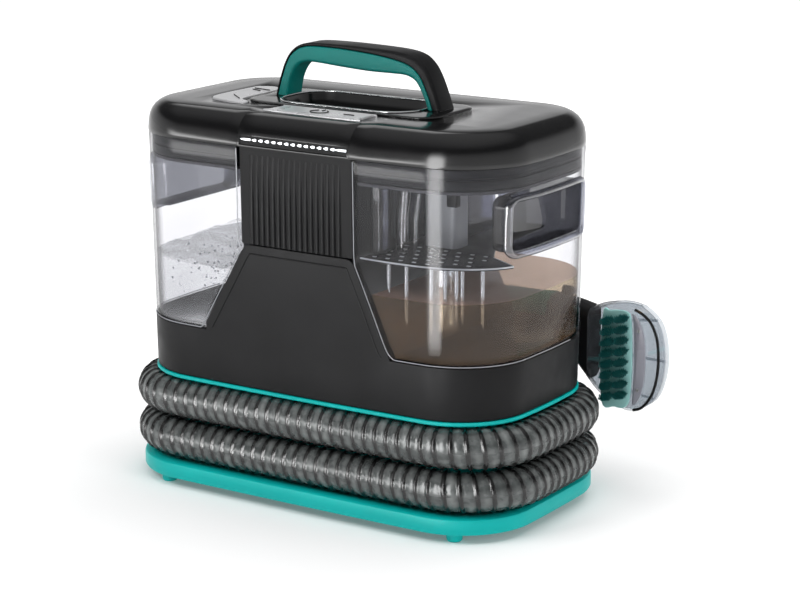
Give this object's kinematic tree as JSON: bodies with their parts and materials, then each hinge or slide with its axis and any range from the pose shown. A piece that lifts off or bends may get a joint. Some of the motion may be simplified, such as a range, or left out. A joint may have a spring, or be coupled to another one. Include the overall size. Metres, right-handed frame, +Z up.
{
  "type": "spot extractor",
  "caption": "Portable spot extractor with pull-out clean and dirty water tanks, carry handle, hose wound round its base and a docked scrubbing hand tool.",
  "frame": {"origin": "middle of the whole object's box, on the floor", "axes": "+X along the long front face towards the dirty tank, +Y towards the back where the hand tool docks, +Z up"},
  "size_m": [0.4414, 0.2608, 0.3779],
  "materials": {
    "teal_plastic": "smooth satin moulded plastic",
    "black_plastic": "fine grained moulded plastic",
    "gloss_black": "high gloss",
    "soft_grip": "soft touch",
    "rubber": "matte",
    "smoked_clear": "smoked transparent plastic",
    "clear_plastic": "transparent plastic",
    "white_plastic": "smooth",
    "silver_trim": "satin plated plastic",
    "steel": "plain",
    "light_guide": "frosted light guide",
    "board": "solder mask",
    "hose_plastic": "smoked corrugated plastic"
  },
  "bodies": {
    "chassis": {"base_plate": "teal_plastic", "foot_front_left": "teal_plastic", "foot_front_right": "teal_plastic", "foot_rear_left": "teal_plastic", "foot_rear_right": "teal_plastic", "base_screw_front_left": "steel", "base_screw_front_right": "steel", "base_screw_rear_left": "steel", "base_screw_rear_right": "steel", "hose_core": "teal_plastic", "trim_plate": "teal_plastic", "main_housing": "black_plastic", "tank_deck": "black_plastic", "centre_tower": "black_plastic", "front_grille": "black_plastic", "front_bezel": "gloss_black", "light_strip": "light_guide", "top_cover": "gloss_black", "handle_island": "gloss_black", "well_trim": "silver_trim", "handle_frame": "black_plastic", "handle_grip": "soft_grip", "power_switch": "black_plastic", "power_button_spring": "steel", "fan_housing": "black_plastic", "vacuum_motor": "steel", "pump": "white_plastic", "solution_line": "clear_plastic", "spray_feed_line": "clear_plastic", "control_board": "board", "exhaust_grille": "black_plastic", "cord_gland": "rubber", "hose_outlet_elbow": "black_plastic", "tool_dock": "black_plastic", "vacuum_hose": "hose_plastic", "hose_tool_cuff": "black_plastic", "tool_handle": "black_plastic", "trigger_pin": "steel", "tool_neck": "black_plastic", "nozzle_hood": "clear_plastic", "scrub_brush": "teal_plastic", "nozzle_latch": "teal_plastic", "spray_tip": "teal_plastic"},
    "power_button": {"power_button": "silver_trim"},
    "release_button": {"release_button": "silver_trim"},
    "clean_tank": {"clean_tank": "smoked_clear", "clean_tank_lid": "black_plastic", "clean_tank_seal": "rubber", "clean_valve_seat": "white_plastic"},
    "clean_valve": {"clean_valve_plunger": "rubber"},
    "dirty_tank": {"dirty_tank": "smoked_clear", "dirty_tank_lid": "black_plastic", "dirty_tank_seal": "rubber", "dirty_strainer": "black_plastic", "intake_duct": "clear_plastic", "separator_tube": "clear_plastic", "float_cage": "clear_plastic"},
    "float_valve": {"float_valve": "white_plastic"},
    "impeller": {"impeller": "black_plastic"},
    "trigger": {"trigger": "teal_plastic"}
  },
  "joints": [
    {"name": "power_button_press", "type": "slide", "parent": "chassis", "child": "power_button", "axis": [0, 0, -1], "range_m": [0, 0.002], "stiffness_N_per_m": 400, "deforming": ["power_button_spring"]},
    {"name": "release_button_press", "type": "slide", "parent": "chassis", "child": "release_button", "axis": [0, 0, -1], "range_m": [0, 0.003], "stiffness_N_per_m": 400},
    {"name": "clean_tank_pull", "type": "slide", "parent": "chassis", "child": "clean_tank", "axis": [-1, 0, 0], "range_m": [0, 0.15]},
    {"name": "clean_valve_lift", "type": "slide", "parent": "clean_tank", "child": "clean_valve", "axis": [0, 0, 1], "range_m": [0, 0.003], "stiffness_N_per_m": 300},
    {"name": "dirty_tank_pull", "type": "slide", "parent": "chassis", "child": "dirty_tank", "axis": [1, 0, 0], "range_m": [0, 0.15]},
    {"name": "float_rise", "type": "slide", "parent": "dirty_tank", "child": "float_valve", "axis": [0, 0, 1], "range_m": [0, 0.014]},
    {"name": "impeller_spin", "type": "hinge", "parent": "chassis", "child": "impeller", "pos_m": [-0.00483, 0.00038, 0.108], "axis": [0, 0, 1], "continuous": true},
    {"name": "trigger_pull", "type": "hinge", "parent": "chassis", "child": "trigger", "pos_m": [0.10417, 0.10638, 0.1175], "axis": [0, 1, 0], "range_deg": [0, 8], "stiffness_Nm_per_rad": 0.6}
  ]
}
